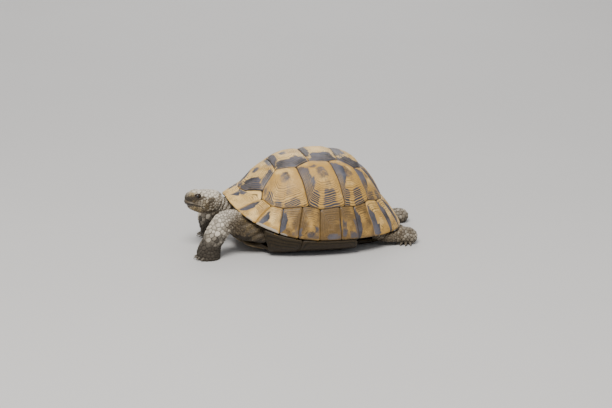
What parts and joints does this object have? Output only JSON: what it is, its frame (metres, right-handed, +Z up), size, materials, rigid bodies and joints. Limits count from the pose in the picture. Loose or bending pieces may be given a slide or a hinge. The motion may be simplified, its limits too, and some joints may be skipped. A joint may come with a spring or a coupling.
{
  "type": "tortoise",
  "caption": "Life-size spur-thighed tortoise in mid stride: domed scuted shell, plastron, head held forward, column legs with claws, short tail.",
  "frame": {"origin": "on the floor under the middle of the bounding box", "axes": "+X runs from the snout towards the tail, +Z is up, so the animal's left side is at -Y"},
  "size_m": [0.2581, 0.1418, 0.1004],
  "materials": {
    "carapace_horn": "satin keratin with raised growth rings, straw yellow with slate-brown markings",
    "plastron_horn": "worn matt keratin, olive-yellow with dark blotches",
    "skin": "dry scaly skin, grey-olive with pale scales",
    "eye": "wet glossy dark eye"
  },
  "bodies": {
    "root": {"abdominal_left": "plastron_horn", "abdominal_right": "plastron_horn", "anal_left": "plastron_horn", "anal_right": "plastron_horn", "costal_left_1": "carapace_horn", "costal_left_2": "carapace_horn", "costal_left_3": "carapace_horn", "costal_left_4": "carapace_horn", "costal_right_1": "carapace_horn", "costal_right_2": "carapace_horn", "costal_right_3": "carapace_horn", "costal_right_4": "carapace_horn", "eye_left": "eye", "eye_right": "eye", "femoral_left": "plastron_horn", "femoral_right": "plastron_horn", "foreleg_left": "skin", "foreleg_right": "skin", "gular_left": "plastron_horn", "gular_right": "plastron_horn", "head": "skin", "hind_leg_left": "skin", "hind_leg_right": "skin", "humeral_left": "plastron_horn", "humeral_right": "plastron_horn", "lower_jaw": "skin", "marginal_left_01": "carapace_horn", "marginal_left_02": "carapace_horn", "marginal_left_03": "carapace_horn", "marginal_left_04": "carapace_horn", "marginal_left_05": "carapace_horn", "marginal_left_06": "carapace_horn", "marginal_left_07": "carapace_horn", "marginal_left_08": "carapace_horn", "marginal_left_09": "carapace_horn", "marginal_left_10": "carapace_horn", "marginal_left_11": "carapace_horn", "marginal_right_01": "carapace_horn", "marginal_right_02": "carapace_horn", "marginal_right_03": "carapace_horn", "marginal_right_04": "carapace_horn", "marginal_right_05": "carapace_horn", "marginal_right_06": "carapace_horn", "marginal_right_07": "carapace_horn", "marginal_right_08": "carapace_horn", "marginal_right_09": "carapace_horn", "marginal_right_10": "carapace_horn", "marginal_right_11": "carapace_horn", "neck": "skin", "nuchal": "carapace_horn", "pectoral_left": "plastron_horn", "pectoral_right": "plastron_horn", "supracaudal": "carapace_horn", "tail": "skin", "trunk": "skin", "vertebral_1": "carapace_horn", "vertebral_2": "carapace_horn", "vertebral_3": "carapace_horn", "vertebral_4": "carapace_horn", "vertebral_5": "carapace_horn"}
  },
  "joints": []
}
